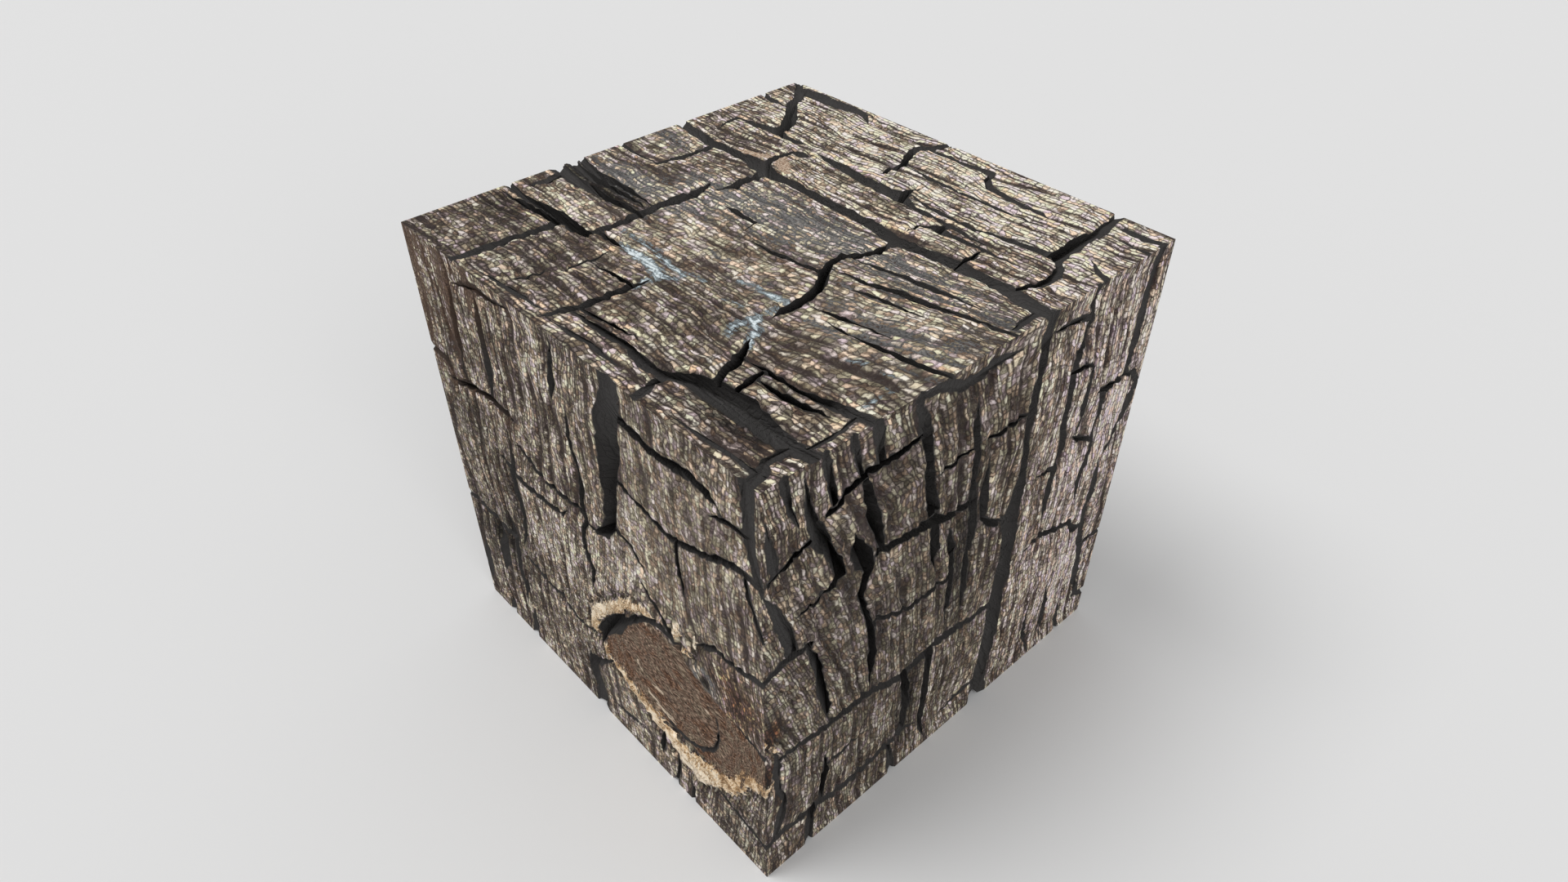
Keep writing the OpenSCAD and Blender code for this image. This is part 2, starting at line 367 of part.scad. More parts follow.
// Places that turn a drawn face, with its lower left corner at the origin and looking up, onto the cube
module onto_top() { translate([-side / 2, -side / 2, side]) children(); }
module onto_bottom() { translate([-side / 2, -side / 2, 0]) mirror([0, 0, 1]) children(); }
module onto_front() { translate([-side / 2, -side / 2, 0]) rotate([90, 0, 0]) children(); }
module onto_back() { mirror([0, 1, 0]) onto_front() children(); }
module onto_right() { translate([side / 2, -side / 2, 0]) rotate([90, 0, 90]) children(); }
module onto_left() { mirror([1, 0, 0]) onto_right() children(); }

// The gap and the ring check of the knot, on the front face
module knot_checks() {
    middle = [knot_x, knot_z, 0];
    check([for (p = knot_gap) middle + [p.x * knot_ring_r, p.y * knot_ring_r, p.z * knot_gap_w]]);
    check([
        for (turn = [knot_ring_from:ring_step:knot_ring_to])
            middle + [
                knot_ring_r * cos(turn),
                knot_ring_r * sin(turn),
                knot_ring_w * sin(180 * (turn - knot_ring_from) / (knot_ring_to - knot_ring_from))
            ]
    ]);
}

module timber_block() {
    color("rosybrown")
        difference() {
            translate([-side / 2, -side / 2, 0]) cube(side);
            onto_top() {
                check(on_face(top_main));
                checks(top_splits);
                checks(top_cross_checks);
            }
            onto_front() {
                checks(front_splits);
                checks(front_cross_checks);
                knot_checks();
            }
            onto_right() {
                checks(right_splits);
                checks(right_cross_checks);
            }
            onto_back() checks(back_checks);
            onto_left() checks(left_checks);
            onto_bottom() checks(bottom_checks);
        }
}

timber_block();
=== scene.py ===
"""Weathered timber cube: the fine relief of its wood, its finish, the camera and the light."""
from functools import partial
import math
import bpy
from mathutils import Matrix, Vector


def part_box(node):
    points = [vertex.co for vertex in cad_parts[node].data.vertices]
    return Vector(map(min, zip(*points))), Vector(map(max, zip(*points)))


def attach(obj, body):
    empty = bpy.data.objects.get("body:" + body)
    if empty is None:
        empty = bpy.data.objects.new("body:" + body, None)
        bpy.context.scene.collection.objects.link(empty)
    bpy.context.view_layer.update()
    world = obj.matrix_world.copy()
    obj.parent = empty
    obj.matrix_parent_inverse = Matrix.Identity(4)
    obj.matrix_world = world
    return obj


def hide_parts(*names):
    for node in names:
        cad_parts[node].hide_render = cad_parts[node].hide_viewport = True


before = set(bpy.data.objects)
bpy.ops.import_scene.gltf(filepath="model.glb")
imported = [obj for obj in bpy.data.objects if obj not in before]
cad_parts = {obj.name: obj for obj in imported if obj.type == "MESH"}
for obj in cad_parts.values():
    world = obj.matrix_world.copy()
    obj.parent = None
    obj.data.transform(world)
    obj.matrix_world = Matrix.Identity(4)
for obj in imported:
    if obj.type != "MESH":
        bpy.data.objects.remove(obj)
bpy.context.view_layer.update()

from types import SimpleNamespace

import bmesh
import bpy
import numpy as np
from mathutils import Matrix, Vector, noise
from mathutils.kdtree import KDTree

MM = 0.001
NODE = "timber_block"
low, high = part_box(NODE)
HEART = (low + high) / 2
HALF = (high.x - low.x) / 2
SIDE = 2 * HALF / MM

# The six faces of the block. A face's soot sets how far soot and painted shade reach from the lips
# of its checks.
X, Y, Z = Vector((1, 0, 0)), Vector((0, 1, 0)), Vector((0, 0, 1))
FACES = {
    "top": dict(out=Z, right=X, up=Y, grain_up=False, strip=0.5, length=1.25, row=0.9, chip=1.3,
                ridge=3.6, height=0.5, soot=0.12, cell=(0, 0)),
    "front": dict(out=-Y, right=X, up=Z, grain_up=True, strip=0.5, length=1.25, row=0.72, chip=1.05,
                  ridge=5, height=0.7, soot=0.3, cell=(1, 0)),
    "right": dict(out=X, right=Y, up=Z, grain_up=True, strip=0.5, length=1.25, row=0.66, chip=1.4,
                  ridge=4.2, height=0.8, soot=0.3, cell=(2, 0)),
    "back": dict(out=Y, right=X, up=Z, grain_up=True, strip=0.85, length=2.2, row=0.8, chip=1.2,
                 ridge=5, height=0.7, soot=0.35, cell=(0, 1)),
    "left": dict(out=-X, right=Y, up=Z, grain_up=True, strip=0.85, length=2.2, row=0.75, chip=1.2,
                 ridge=5, height=0.7, soot=0.35, cell=(1, 1)),
    "bottom": dict(out=-Z, right=X, up=Y, grain_up=False, strip=1.1, length=2.8, row=0.9, chip=1.2,
                   ridge=4, height=0.3, soot=0.3, cell=(2, 1)),
}

# Places with a character of their own: face, middle, half-widths across and up the drawing, and
# how much the wood there is lighter, warmer, greyed over, browned over, netted with fine cracks,
# smooth, with little difference between its chips, or hollowed, the last in mm. Below 0, lighter
# is dimmer, warmer is rosier and greyed takes a film away. Where a patch is hollowed, its dimming
# is painted shade in the hollow.
PATCHES = [
    ("top", 50, 92, 60, 22, dict(lighter=0.56)), ("top", 85, 90, 20, 13, dict(lighter=0.15)),
    ("top", 62, 92, 14, 5, dict(lighter=0.15)), ("top", 45, 8, 60, 20, dict(lighter=-0.17)),
    ("top", 50, 50, 80, 80, dict(lighter=0.05)), ("top", 50, 36, 60, 28, dict(smooth=0.4)),
    # The two thin bands along the widest check's lips are painted highlights
    ("top", 50, 63.2, 60, 0.8, dict(lighter=0.5)), ("top", 50, 67.6, 60, 0.8, dict(lighter=0.35)),
    ("top", 12, 36.3, 15, 3.6, dict(lighter=-1.1, hollow=0.6)),
    ("top", 8, 18, 10, 3.2, dict(lighter=-0.4, warmer=0.3, hollow=0.4)),
    ("top", 84, 9.5, 12, 3.0, dict(lighter=-1.1, hollow=1.2)),
    ("top", 85, 17.5, 6, 1.8, dict(lighter=-0.6, hollow=0.4)),
    ("top", 15, 42, 15, 4.5, dict(greyed=0.95)),
    ("top", 46, 54, 22, 10, dict(greyed=0.85)), ("top", 34, 47, 6, 9, dict(greyed=0.3)),
    ("top", 80, 56, 22, 5, dict(greyed=0.8)), ("top", 30, 40, 4, 8, dict(greyed=0.4)),
    ("top", 86, 42, 18, 9, dict(greyed=0.7)), ("top", 6, 59, 10, 4, dict(greyed=0.7)),
    ("top", 52, 35.6, 10, 1.2, dict(greyed=0.8)), ("top", 62, 33.4, 8, 1.4, dict(greyed=0.6)),
    ("top", 77, 33.6, 6, 1.2, dict(greyed=0.7)), ("top", 24, 51, 5, 5, dict(greyed=0.6)),
    ("top", 51, 80.2, 5, 1.0, dict(lighter=0.8)), ("top", 58.5, 76, 2.6, 1.1, dict(lighter=0.8)),
    ("top", 65.5, 94, 5, 1.2, dict(lighter=0.7)), ("top", 97, 72, 4, 1.6, dict(lighter=0.7)),
    ("top", 15, 27.5, 11, 4.5, dict(lighter=0.3)), ("top", 38, 38, 6, 5, dict(lighter=0.35)),
    ("top", 64, 13, 5, 1.3, dict(lighter=0.6)),
    ("front", 10, 26, 15, 13, dict(lighter=-0.35)), ("front", 6, 60, 12, 14, dict(lighter=-0.2)),
    ("front", 12, 97, 26, 4.5, dict(browned=0.85)), ("front", 0.5, 86, 3.2, 18, dict(browned=0.9)),
    ("front", 12.6, 87, 2.6, 12, dict(browned=0.9)), ("front", 7, 86, 8, 12, dict(browned=0.5)),
    ("front", 22.4, 92, 2.0, 9, dict(browned=0.8)), ("front", 17, 69, 13, 2.4, dict(browned=0.7)),
    ("front", 4, 66, 6, 8, dict(browned=0.45)), ("front", 27, 63, 3, 6, dict(browned=0.5)),
    ("front", 8, 80, 10, 10, dict(lighter=-0.1)),
    ("front", 23, 45, 3.2, 10, dict(lighter=-0.6, hollow=0.5)),
    ("front", 45, 8, 4.5, 9, dict(lighter=-0.6, hollow=0.4)),
    ("front", 37, 44, 13, 10, dict(lighter=0.35)), ("front", 40, 90, 8, 10, dict(lighter=0.25)),
    ("front", 61, 54, 8, 7, dict(lighter=0.35, netted=0.6)),
    ("front", 68, 68, 8, 9, dict(lighter=0.3, netted=1.0)),
    ("front", 55, 10, 9, 7, dict(lighter=0.22, netted=0.8, greyed=0.2)),
    ("front", 92, 47, 9, 8, dict(lighter=-0.1, warmer=0.9)),
    ("front", 82, 86, 16, 10, dict(lighter=0.05, netted=0.8)),
    ("front", 11, 26, 2.2, 5.5, dict(lighter=-1.0, hollow=1.0)),
    ("front", 17, 30, 3.0, 8, dict(lighter=-0.6, hollow=0.4)),
    ("front", 84, 44.8, 5, 3.4, dict(greyed=0.25, warmer=-0.9)),
    ("front", 81.6, 44.6, 1.1, 1.8, dict(greyed=0.9)), ("front", 84, 47, 2, 1, dict(greyed=0.9)),
    ("front", 86.2, 44.8, 1, 1.8, dict(greyed=0.9)), ("front", 84, 42.4, 2, 1, dict(greyed=0.9)),
    ("front", 84, 44.7, 1.2, 1.3, dict(lighter=-1.2, greyed=-0.9)),
    ("front", 56, 23.5, 6, 4, dict(warmer=0.5)),
    ("front", 93, 9, 8, 9, dict(lighter=-0.25)),
    ("right", 31, 50, 38, 60, dict(lighter=-0.25)),
    ("right", 86, 50, 19, 70, dict(lighter=0.42, warmer=-1)),
    ("right", 92, 65, 5, 10, dict(lighter=0.5)), ("right", 81, 56, 6, 5, dict(lighter=0.3)),
    ("right", 89, 22, 7, 20, dict(lighter=0.3)), ("right", 93, 5.5, 2.4, 4, dict(lighter=0.7)),
    ("right", 24, 50, 40, 60, dict(greyed=0.1)), ("right", 74, 80, 6, 20, dict(greyed=0.2)),
    ("right", 49.5, 56, 3, 20, dict(lighter=-0.6, hollow=0.5)),
    ("right", 38, 20, 2.6, 11, dict(lighter=-0.7, hollow=0.6)),
    ("right", 1, 44, 4, 4, dict(warmer=1.2)),
    ("right", 0.8, 33, 2, 3.2, dict(lighter=-0.5, warmer=1.2)),
    ("front", 50, 50, 80, 80, dict(smooth=0.25)), ("front", 82, 75, 26, 26, dict(smooth=0.45)),
    ("right", 30, 50, 40, 60, dict(smooth=0.5)), ("right", 85, 50, 18, 60, dict(smooth=0.2)),
    ("back", 50, 50, 80, 80, dict(smooth=0.4)), ("left", 50, 50, 80, 80, dict(smooth=0.4)),
    ("bottom", 50, 50, 80, 80, dict(smooth=0.4)),
    ("back", 40, 60, 40, 50, dict(lighter=-0.1)),
    ("back", 75, 25, 20, 30, dict(lighter=-0.15, warmer=0.2, netted=0.7)),
    ("left", 50, 30, 50, 30, dict(lighter=-0.15)), ("left", 30, 80, 20, 20, dict(netted=0.7)),
    ("bottom", 50, 50, 60, 60, dict(lighter=-0.15, warmer=0.1)),
]
QUALITIES = ("lighter", "warmer", "greyed", "browned", "netted", "smooth", "hollow")

# Streaks of another stuff, as chains of points, each with the streak's half-width there in mm:
# a pale film dried on the top, the torn gold rim round the knot and its splinters, and the fresh
# wood where splinters have broken off the lips of the widest check.
STREAKS = {
    "film": [
        ("top", [(30, 28.9, 0.2), (40, 28.5, 0.6), (45.7, 27.3, 0.7), (50, 26.9, 0.5)]),
        ("top", [(33, 25.3, 0.5), (39.5, 25.2, 1.2), (43, 25, 1.2), (45.7, 24.2, 1.2),
                 (47.3, 23.8, 0.9), (50, 25.3, 0.6)]),
        ("top", [(47, 24, 1.0), (46.7, 20.8, 0.8), (47.3, 18.9, 0.3)]),
        ("top", [(49.6, 28.3, 0.3), (53.5, 28.5, 0.35)]),
        ("top", [(59.4, 27.5, 0.2), (64.1, 28.1, 0.3)]),
        ("top", [(57, 32.8, 0.2), (61.4, 33.7, 0.5), (64.5, 33.6, 0.6), (68.2, 34.2, 0.5)]),
        ("top", [(68.4, 32, 0.7), (67.8, 28.7, 0.8), (68.6, 26.5, 1.1)]),
        ("top", [(68.2, 26.2, 0.9), (67, 25.1, 0.9), (67.5, 22.8, 0.8), (68.8, 20.6, 0.4)]),
        ("top", [(68.6, 26.5, 1.1), (70.4, 25.5, 0.9), (71.6, 23.6, 0.9), (73.3, 21, 0.6)]),
        ("top", [(73.5, 33, 0), (79.8, 34.5, 0.1)]), ("top", [(86.5, 30.2, 0.3), (89.2, 31.6, 0.4)]),
        ("top", [(92.7, 31.4, 0.2), (94.3, 32.2, 0.1)]),
        ("top", [(95.9, 30.6, 0.3), (96.3, 23.2, 0.3)]),
    ],
    "rim": [
        ("front", [(47.2, 26, 0.9), (47.4, 30, 1.3), (49.4, 34, 1.4), (53, 37.4, 1.4),
                   (57, 41.2, 1.2), (60, 44.4, 1.2), (64, 47.2, 1.2), (68.5, 48.4, 0.6)]),
        ("front", [(49.6, 24, 0.5), (51, 22, 0.6), (55, 20.2, 0.8), (60, 18, 1.4),
                   (66, 16, 2.6), (71, 14.6, 2.6), (75, 13, 3.4), (79, 12.6, 4.0),
                   (82, 15, 3.0), (86.5, 16.6, 2.2), (90, 19.2, 1.8), (92.8, 22.4, 1.6),
                   (94.8, 26, 1.5), (97.6, 27.9, 1.5), (101, 29.2, 1.6)]),
        ("front", [(75.6, 49.6, 0.7), (77, 52.4, 0.9)]),
        ("front", [(81.4, 51.6, 0.4), (82, 53.6, 0.4)]),
        ("front", [(77.5, 47, 0.5), (80, 48.2, 0.5)]),
        ("right", [(0, 28.5, 0.9), (2.6, 30, 0.3)]), ("right", [(0, 43.5, 0.3), (3.4, 37.5, 0.1)]),
    ],
    "splinter": [
        ("front", [(66.2, 25.6, 0.5), (69.6, 26.8, 0.4)]),
        ("front", [(64.4, 22.6, 0.4), (68.5, 20.4, 0.8), (72.5, 20.6, 0.6)]),
        ("front", [(61.4, 29.6, 0.4), (62.8, 27.4, 0.2)]), ("front", [(83.6, 35, 0.4), (84, 35.4, 0.3)]),
        ("front", [(65.4, 43.8, 0.4), (66.6, 44.4, 0.4)]), ("front", [(54, 34, 0.5), (54.6, 34.6, 0.4)]),
    ],
    "fresh": [
        ("top", [(18, 66.4, 0.3), (21.5, 67.2, 1.1), (24.6, 69.2, 1.0)]),
        ("top", [(27.2, 71, 0.8), (28.6, 69, 1.5), (32.5, 66.8, 0.7)]),
    ],
}
# The brown heart of the knot on the front face, which runs off the face at the right
HEARTWOOD = [
    (50.2, 26.6), (53, 29.4), (57.2, 33.6), (59, 38.6), (62, 42), (66, 45), (71, 46.6), (77, 46),
    (81, 43.6), (86, 41.6), (91, 40.2), (101, 39), (101, 30.4), (96, 28), (93.4, 24.4),
    (91, 20.4), (87, 18.4), (80, 18.4), (74, 18), (68, 18.4), (62, 19.4), (56, 20.6), (51.4, 22.4),
]
# The knot's middle, how much longer it is than high, the radius inside which the grain bends no
# further, and how strongly the grain bends round it
KNOT = (74, 31)
KNOT_STRETCH, KNOT_CORE, KNOT_BEND = 1.15, 14.0, 125
# What the mesh stores for the finish, in threes. How smooth the wood is stands by itself.
FIELDS = ("grain", "wear", "stain", "marks", "knot")

# Depths in mm: of the knot's heart and its torn rim, of the wear at the lips of the checks and of
# the broad waves of a face
HEART_FALL, LIP_WEAR, WAVES = 0.6, 0.3, 0.15
# How far wear moves a point along its face, how far from the block's edges it fades out, and the
# least that is taken off, all in mm
SWAY, EDGE_FADE, LEAST_FALL = 0.26, 4, 0.05
# How unevenly chips stand in their rows, from 0 to 1
UNEVEN = 0.55
# The frizz and the width of the lobes of torn fibre, and the height of grit and gaps, in mm
FRIZZ, LOBE, GRIT_HEIGHT = 2.5, 3.8, 0.3


# ---------------------------------------------------------------- the drawing on each face

def owner(point):
    """Name of the face that a point lies on or under, seen from the heart of the block."""
    off = point - HEART
    return max(FACES, key=lambda name: FACES[name]["out"].dot(off))


def wander(a, b, seed):
    """Smooth noise, about -1 to 1, that changes over one unit of a and b."""
    return np.array([noise.noise((x, y, seed)) for x, y in zip(a, b)]) * 1.6


def flow(name, u, v):
    """Distance along and across the grain, which bends round the knot and leans where it leans."""
    face = FACES[name]
    along, across = (v, u) if face["grain_up"] else (u, v)
    seed = 10.0 * list(FACES).index(name)
    across = (across + 1.2 * wander(u / 21, v / 21, seed + 1)
              + 0.35 * wander(u / 7, v / 7, seed + 2))
    if name == "front":
        x, y = (u - KNOT[0]) / KNOT_STRETCH, v - KNOT[1]
        around = np.maximum(x * x + y * y, KNOT_CORE ** 2)
        across = across - x * KNOT_BEND / around
        along = along + y * KNOT_BEND / around
    if name == "right":
        across = across + 0.3 * np.clip((62 - u) / 50, 0, 1) * np.clip(v - 32, 0, 90)
        across = across + 3.5 * np.exp(-((u - 50) ** 2 + (v - 9) ** 2) / 60)
    if name == "top":
        across = across - 0.22 * np.clip(u - 58, 0, 60) * np.exp(-((v - 46) / 17) ** 2)
        across = across - 2.0 * np.exp(-((u - 27) / 7) ** 2 - ((v - 66) / 6) ** 2)
    return along, across


def patches(name, u, v):
    """How much of each quality the patches of one face give each point."""
    total = {quality: np.zeros(len(u)) for quality in QUALITIES}
    for face, mid_u, mid_v, wide, tall, amounts in PATCHES:
        if face == name:
            share = np.exp(-(((u - mid_u) / wide) ** 2 + ((v - mid_v) / tall) ** 2) ** 1.5)
            for quality, amount in amounts.items():
                total[quality] += amount * share
    return total


def streak_distance(name, kind, u, v):
    """Distance of each point to the streaks of one kind on a face, negative inside them."""
    nearest = np.full(len(u), 9.0)
    for face, chain in STREAKS[kind]:
        if face == name:
            for (x1, y1, w1), (x2, y2, w2) in zip(chain, chain[1:]):
                way = np.array((x2 - x1, y2 - y1))
                t = np.clip(((u - x1) * way[0] + (v - y1) * way[1]) / (way @ way), 0, 1)
                gap = np.hypot(u - x1 - t * way[0], v - y1 - t * way[1]) - w1 - t * (w2 - w1)
                nearest = np.minimum(nearest, gap)
    return nearest


def outline_distance(u, v, outline):
    """Distance of each point to a closed outline, negative inside it."""
    p = np.stack([u, v], 1)
    nearest = np.full(len(u), 1e9)
    inside = np.zeros(len(u), bool)
    for a, b in zip(outline, outline[1:] + outline[:1]):
        a, b = np.array(a, float), np.array(b, float)
        t = np.clip((p - a) @ (b - a) / ((b - a) @ (b - a)), 0, 1)
        nearest = np.minimum(nearest, np.linalg.norm(p - a - t[:, None] * (b - a), axis=1))
        if a[1] != b[1]:
            inside ^= ((a[1] > v) != (b[1] > v)) & (
                u < (b[0] - a[0]) * (v - a[1]) / (b[1] - a[1]) + a[0])
    return np.where(inside, -nearest, nearest)


def smooth_step(low_end, high_end, value):
    """0 below the low end, 1 above the high end, smooth between."""
    t = np.clip((value - low_end) / (high_end - low_end), 0, 1)
    return t * t * (3 - 2 * t)


# ---------------------------------------------------------------- the mesh

def merged_copy(node):
    """A bmesh of a node's mesh, with its loose triangles joined and its flat faces made whole."""
    bm = bmesh.new()
    bm.from_mesh(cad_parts[node].data)
    bmesh.ops.remove_doubles(bm, verts=bm.verts, dist=0.0001 * MM)
    bmesh.ops.dissolve_degenerate(bm, dist=0.002 * MM, edges=bm.edges)
    bmesh.ops.dissolve_limit(bm, angle_limit=math.radians(0.2), verts=bm.verts, edges=bm.edges)
    return bm


def is_outer(face):
    """Whether a face lies in one of the block's six planes."""
    out = FACES[owner(face.calc_center_median())]["out"]
    return all(abs((v.co - HEART).dot(out) - HALF) < 0.004 * MM for v in face.verts)


def cut_in_strips(bm, faces, axis, start, end, count):
    """Bisects faces between start and end into count strips, halving the stretch each time."""
    if count < 2 or not faces:
        return faces
    half = count // 2
    middle = start + (end - start) * half / count
    parts = set(faces)
    for f in faces:
        parts.update(f.edges)
        parts.update(f.verts)
    cut = bmesh.ops.bisect_plane(bm, geom=list(parts), dist=0.001 * MM, plane_co=axis * middle,
                                 plane_no=axis)
    after = [g for g in cut["geom"] if isinstance(g, bmesh.types.BMFace)]
    below = [f for f in after if f.calc_center_median().dot(axis) < middle]
    above = [f for f in after if f.calc_center_median().dot(axis) >= middle]
    return (cut_in_strips(bm, below, axis, start, middle, half)
            + cut_in_strips(bm, above, axis, middle, end, count - half))


def finely_cut_block():
    """The block with its six faces cut small, its sharp edges marked and its wood faces flagged."""
    bm = merged_copy(NODE)
    flag = bm.faces.layers.int.new("outer")
    outer = {name: [] for name in FACES}
    for face in bm.faces:
        if is_outer(face):
            outer[owner(face.calc_center_median())].append(face)
    for name, face in FACES.items():
        ways = ("right", "up") if face["grain_up"] else ("up", "right")
        for way, step in zip(ways, (face["strip"], face["length"])):
            start = low.dot(face[way])
            outer[name] = cut_in_strips(bm, outer[name], face[way], start, start + 2 * HALF,
                                        round(SIDE / step))
        for f in outer[name]:
            f[flag] = 1
    bmesh.ops.triangulate(bm, faces=[f for f in bm.faces if len(f.verts) > 4])
    for f in bm.faces:
        f.smooth = True
    rim = []
    for e in bm.edges:
        kinds = {f[flag] for f in e.link_faces}
        if len(kinds) == 2:
            rim.append((owner(e.link_faces[0].calc_center_median()),
                        e.verts[0].co.copy(), e.verts[1].co.copy()))
        e.smooth = not (len(kinds) == 2 or e.calc_face_angle(0) > math.radians(40))
    mesh = bpy.data.meshes.new("weathered_block")
    bm.to_mesh(mesh)
    bm.free()
    return mesh, rim


def drawn(name, points):
    """Where points of the block fall on a face's drawing, seen from the heart, and their depth."""
    face = FACES[name]
    off = (points - np.array(HEART)) / HALF
    level = off @ np.array(face["out"])
    u = (off @ np.array(face["right"]) / level + 1) * SIDE / 2
    v = (off @ np.array(face["up"]) / level + 1) * SIDE / 2
    return u, v, (1 - level) * SIDE / 2


def rim_tree(name, rim):
    points = []
    for face, a, b in rim:
        if face == name:
            steps = max(1, round((b - a).length / (0.3 * MM)))
            points += [a.lerp(b, i / steps) for i in range(steps + 1)]
    u, v, _ = drawn(name, np.array(points))
    tree = KDTree(len(points))
    for i, place in enumerate(zip(u, v)):
        tree.insert((*place, 0), i)
    tree.balance()
    return tree


def weather(mesh, rim):
    """Wears the block's faces to ridges, hollows and ragged lips, and stores what the finish needs.

    Every move is inwards or along the face, so the block stays inside its own box.
    """
    count = len(mesh.vertices)
    place = np.empty(count * 3)
    mesh.vertices.foreach_get("co", place)
    place = place.reshape(-1, 3)
    moved = place.copy()

    sides = len(mesh.polygons)
    starts, totals = np.empty(sides, int), np.empty(sides, int)
    centres = np.empty(sides * 3)
    mesh.polygons.foreach_get("loop_start", starts)
    mesh.polygons.foreach_get("loop_total", totals)
    mesh.polygons.foreach_get("center", centres)
    outs = np.array([face["out"] for face in FACES.values()])
    owners = np.argmax((centres.reshape(-1, 3) - np.array(HEART)) @ outs.T, axis=1)
    corner_owner = np.repeat(owners, totals)
    corner_vertex = np.empty(len(mesh.loops), int)
    mesh.loops.foreach_get("vertex_index", corner_vertex)

    stored = {key: np.zeros((len(mesh.loops), 3)) for key in FIELDS}
    smooth = np.zeros(len(mesh.loops))
    sheet = np.zeros((len(mesh.loops), 2))
    for number, (name, face) in enumerate(FACES.items()):
        corners = corner_owner == number
        used, back = np.unique(corner_vertex[corners], return_inverse=True)
        u, v, depth = drawn(name, place[used])
        tree = rim_tree(name, rim)
        lip = np.array([tree.find((a, b, 0))[2] for a, b in zip(u, v)])
        on_face = depth < 0.004
        along, across = flow(name, u, v)
        rows = across / face["row"]
        has = patches(name, u, v)
        marks = {kind: streak_distance(name, kind, u, v) for kind in STREAKS}
        to_heart = (outline_distance(u, v, HEARTWOOD) if name == "front"
                    else np.full(len(u), 2.0))
        seed = 10.0 * number
        marks["rim"] += 0.6 * wander(u / 2.6, v / 2.6, seed + 12)
        # Just outside the torn rim the wood is hollowed and dimmed: darker wood, with painted shade
        # under the rim's edge
        beside_rim = np.exp(-((marks["rim"] - 0.7) / 0.5) ** 2)
        has["lighter"] -= 0.5 * beside_rim

        # Furrows along the grain, deep in some stretches and faint in others
        turn = rows / face["ridge"]
        turn = turn + 0.35 * wander(turn * 0.9, along / 22, seed + 10)
        bound = np.round(turn)
        depth_here = 0.5 + 0.9 * wander(bound * 3.3, along / 15, seed + 3)
        furrow = (0.5 + 0.5 * np.cos(2 * np.pi * turn)) ** 4.5 * np.clip(depth_here, 0.05, 1)
        broken = 0.5 + 0.6 * wander(rows / 2, along / 7, seed + 4)
        crest = np.clip(1 - furrow - 0.25 * broken, 0, 1)
        height = face["height"] * np.ones(len(u))
        if name == "front":
            height *= 0.4 + 0.6 * smooth_step(60, 45, u)
        height *= 1 - 0.5 * np.clip(has["netted"], 0, 1)
        fall = height * (1 - crest) + WAVES * (0.5 + 0.5 * wander(u / 13, v / 13, seed + 6))
        # The heart of the knot lies lower than its torn rim
        in_heart = smooth_step(0.5, -0.7, to_heart)
        on_rim = smooth_step(0.5, -0.7, marks["rim"])
        lumps = np.clip(0.5 + 0.8 * wander(u / 2.4, v / 2.4, seed + 5), 0, 1)
        fall = fall + in_heart * (HEART_FALL + 0.15 * lumps - fall)
        fall = fall + on_rim * (HEART_FALL * (1 - lumps) - fall)
        fall = fall + 0.7 * beside_rim * (1 - in_heart)
        worn = LIP_WEAR * np.exp(-(lip / 0.5) ** 2) * (0.6 + 0.7 * wander(u / 1.1, v / 1.1, seed + 7))
        edge = np.minimum(np.minimum(u, SIDE - u), np.minimum(v, SIDE - v))
        # Hollows take the checks in them down too, and nothing falls right at the block's edges
        fall = np.where(on_face, np.clip(fall + worn, 0, 3), 0) + has["hollow"] + LEAST_FALL
        fall *= smooth_step(0, EDGE_FADE, edge)
        sway = np.stack([wander(u / 1.7, v / 1.7, seed + 8), wander(u / 1.7, v / 1.7, seed + 9)])
        sway *= SWAY * smooth_step(0, 2.2, edge) * np.clip(1 - depth / 6, 0, 1)
        moved[used] += MM * (sway[0][:, None] * np.array(face["right"])
                             + sway[1][:, None] * np.array(face["up"])
                             - fall[:, None] * np.array(face["out"]))

        # Lips carry a painted highlight beside the checks, most of all on the top
        lip_highlight = np.exp(-((lip - 0.8) / 0.45) ** 2) * (0.5 + 0.8 * wander(u / 5, v / 5, seed + 11))
        lip_highlight = np.clip(lip_highlight, 0, 1) * on_face
        has["lighter"] += (0.8 if name == "top" else 0.25) * lip_highlight
        has["warmer"] += (0.5 if name == "top" else 0.25) * lip_highlight

        fields = {
            "grain": (along / face["chip"], rows + 200 * number, depth),
            "wear": (np.where(on_face, lip / face["soot"], -depth), crest, has["lighter"]),
            "marks": (marks["film"], marks["splinter"], marks["fresh"]),
            "knot": (to_heart, marks["rim"], has["browned"]),
            "stain": (has["warmer"], has["greyed"], has["netted"]),
        }
        for key, columns in fields.items():
            stored[key][corners] = np.stack(columns, 1)[back]
        smooth[corners] = has["smooth"][back]
        part = np.stack([v, u] if face["grain_up"] else [u, v], 1) / SIDE
        handed = face["right"].cross(face["up"]).dot(face["out"]) > 0
        if face["grain_up"] == handed:
            part[:, 0] = 1 - part[:, 0]
        part = part * 0.97 + 0.015 + np.array(face["cell"])
        sheet[corners] = (part / np.array((3, 2)))[back]
    mesh.vertices.foreach_set("co", moved.ravel())
    for key, values in stored.items():
        mesh.attributes.new(key, "FLOAT_VECTOR", "CORNER").data.foreach_set(
            "vector", values.ravel())
    mesh.attributes.new("smooth", "FLOAT", "CORNER").data.foreach_set("value", smooth)
    mesh.uv_layers.new(name="OFBake").data.foreach_set("uv", sheet.ravel())
    mesh.update()


# ---------------------------------------------------------------- the finish

def colour(code):
    """Linear colour, with alpha, from an sRGB hex code."""
    parts = [int(code[i:i + 2], 16) / 255 for i in (1, 3, 5)]
    return [*(c / 12.92 if c <= 0.04045 else ((c + 0.055) / 1.055) ** 2.4 for c in parts), 1]


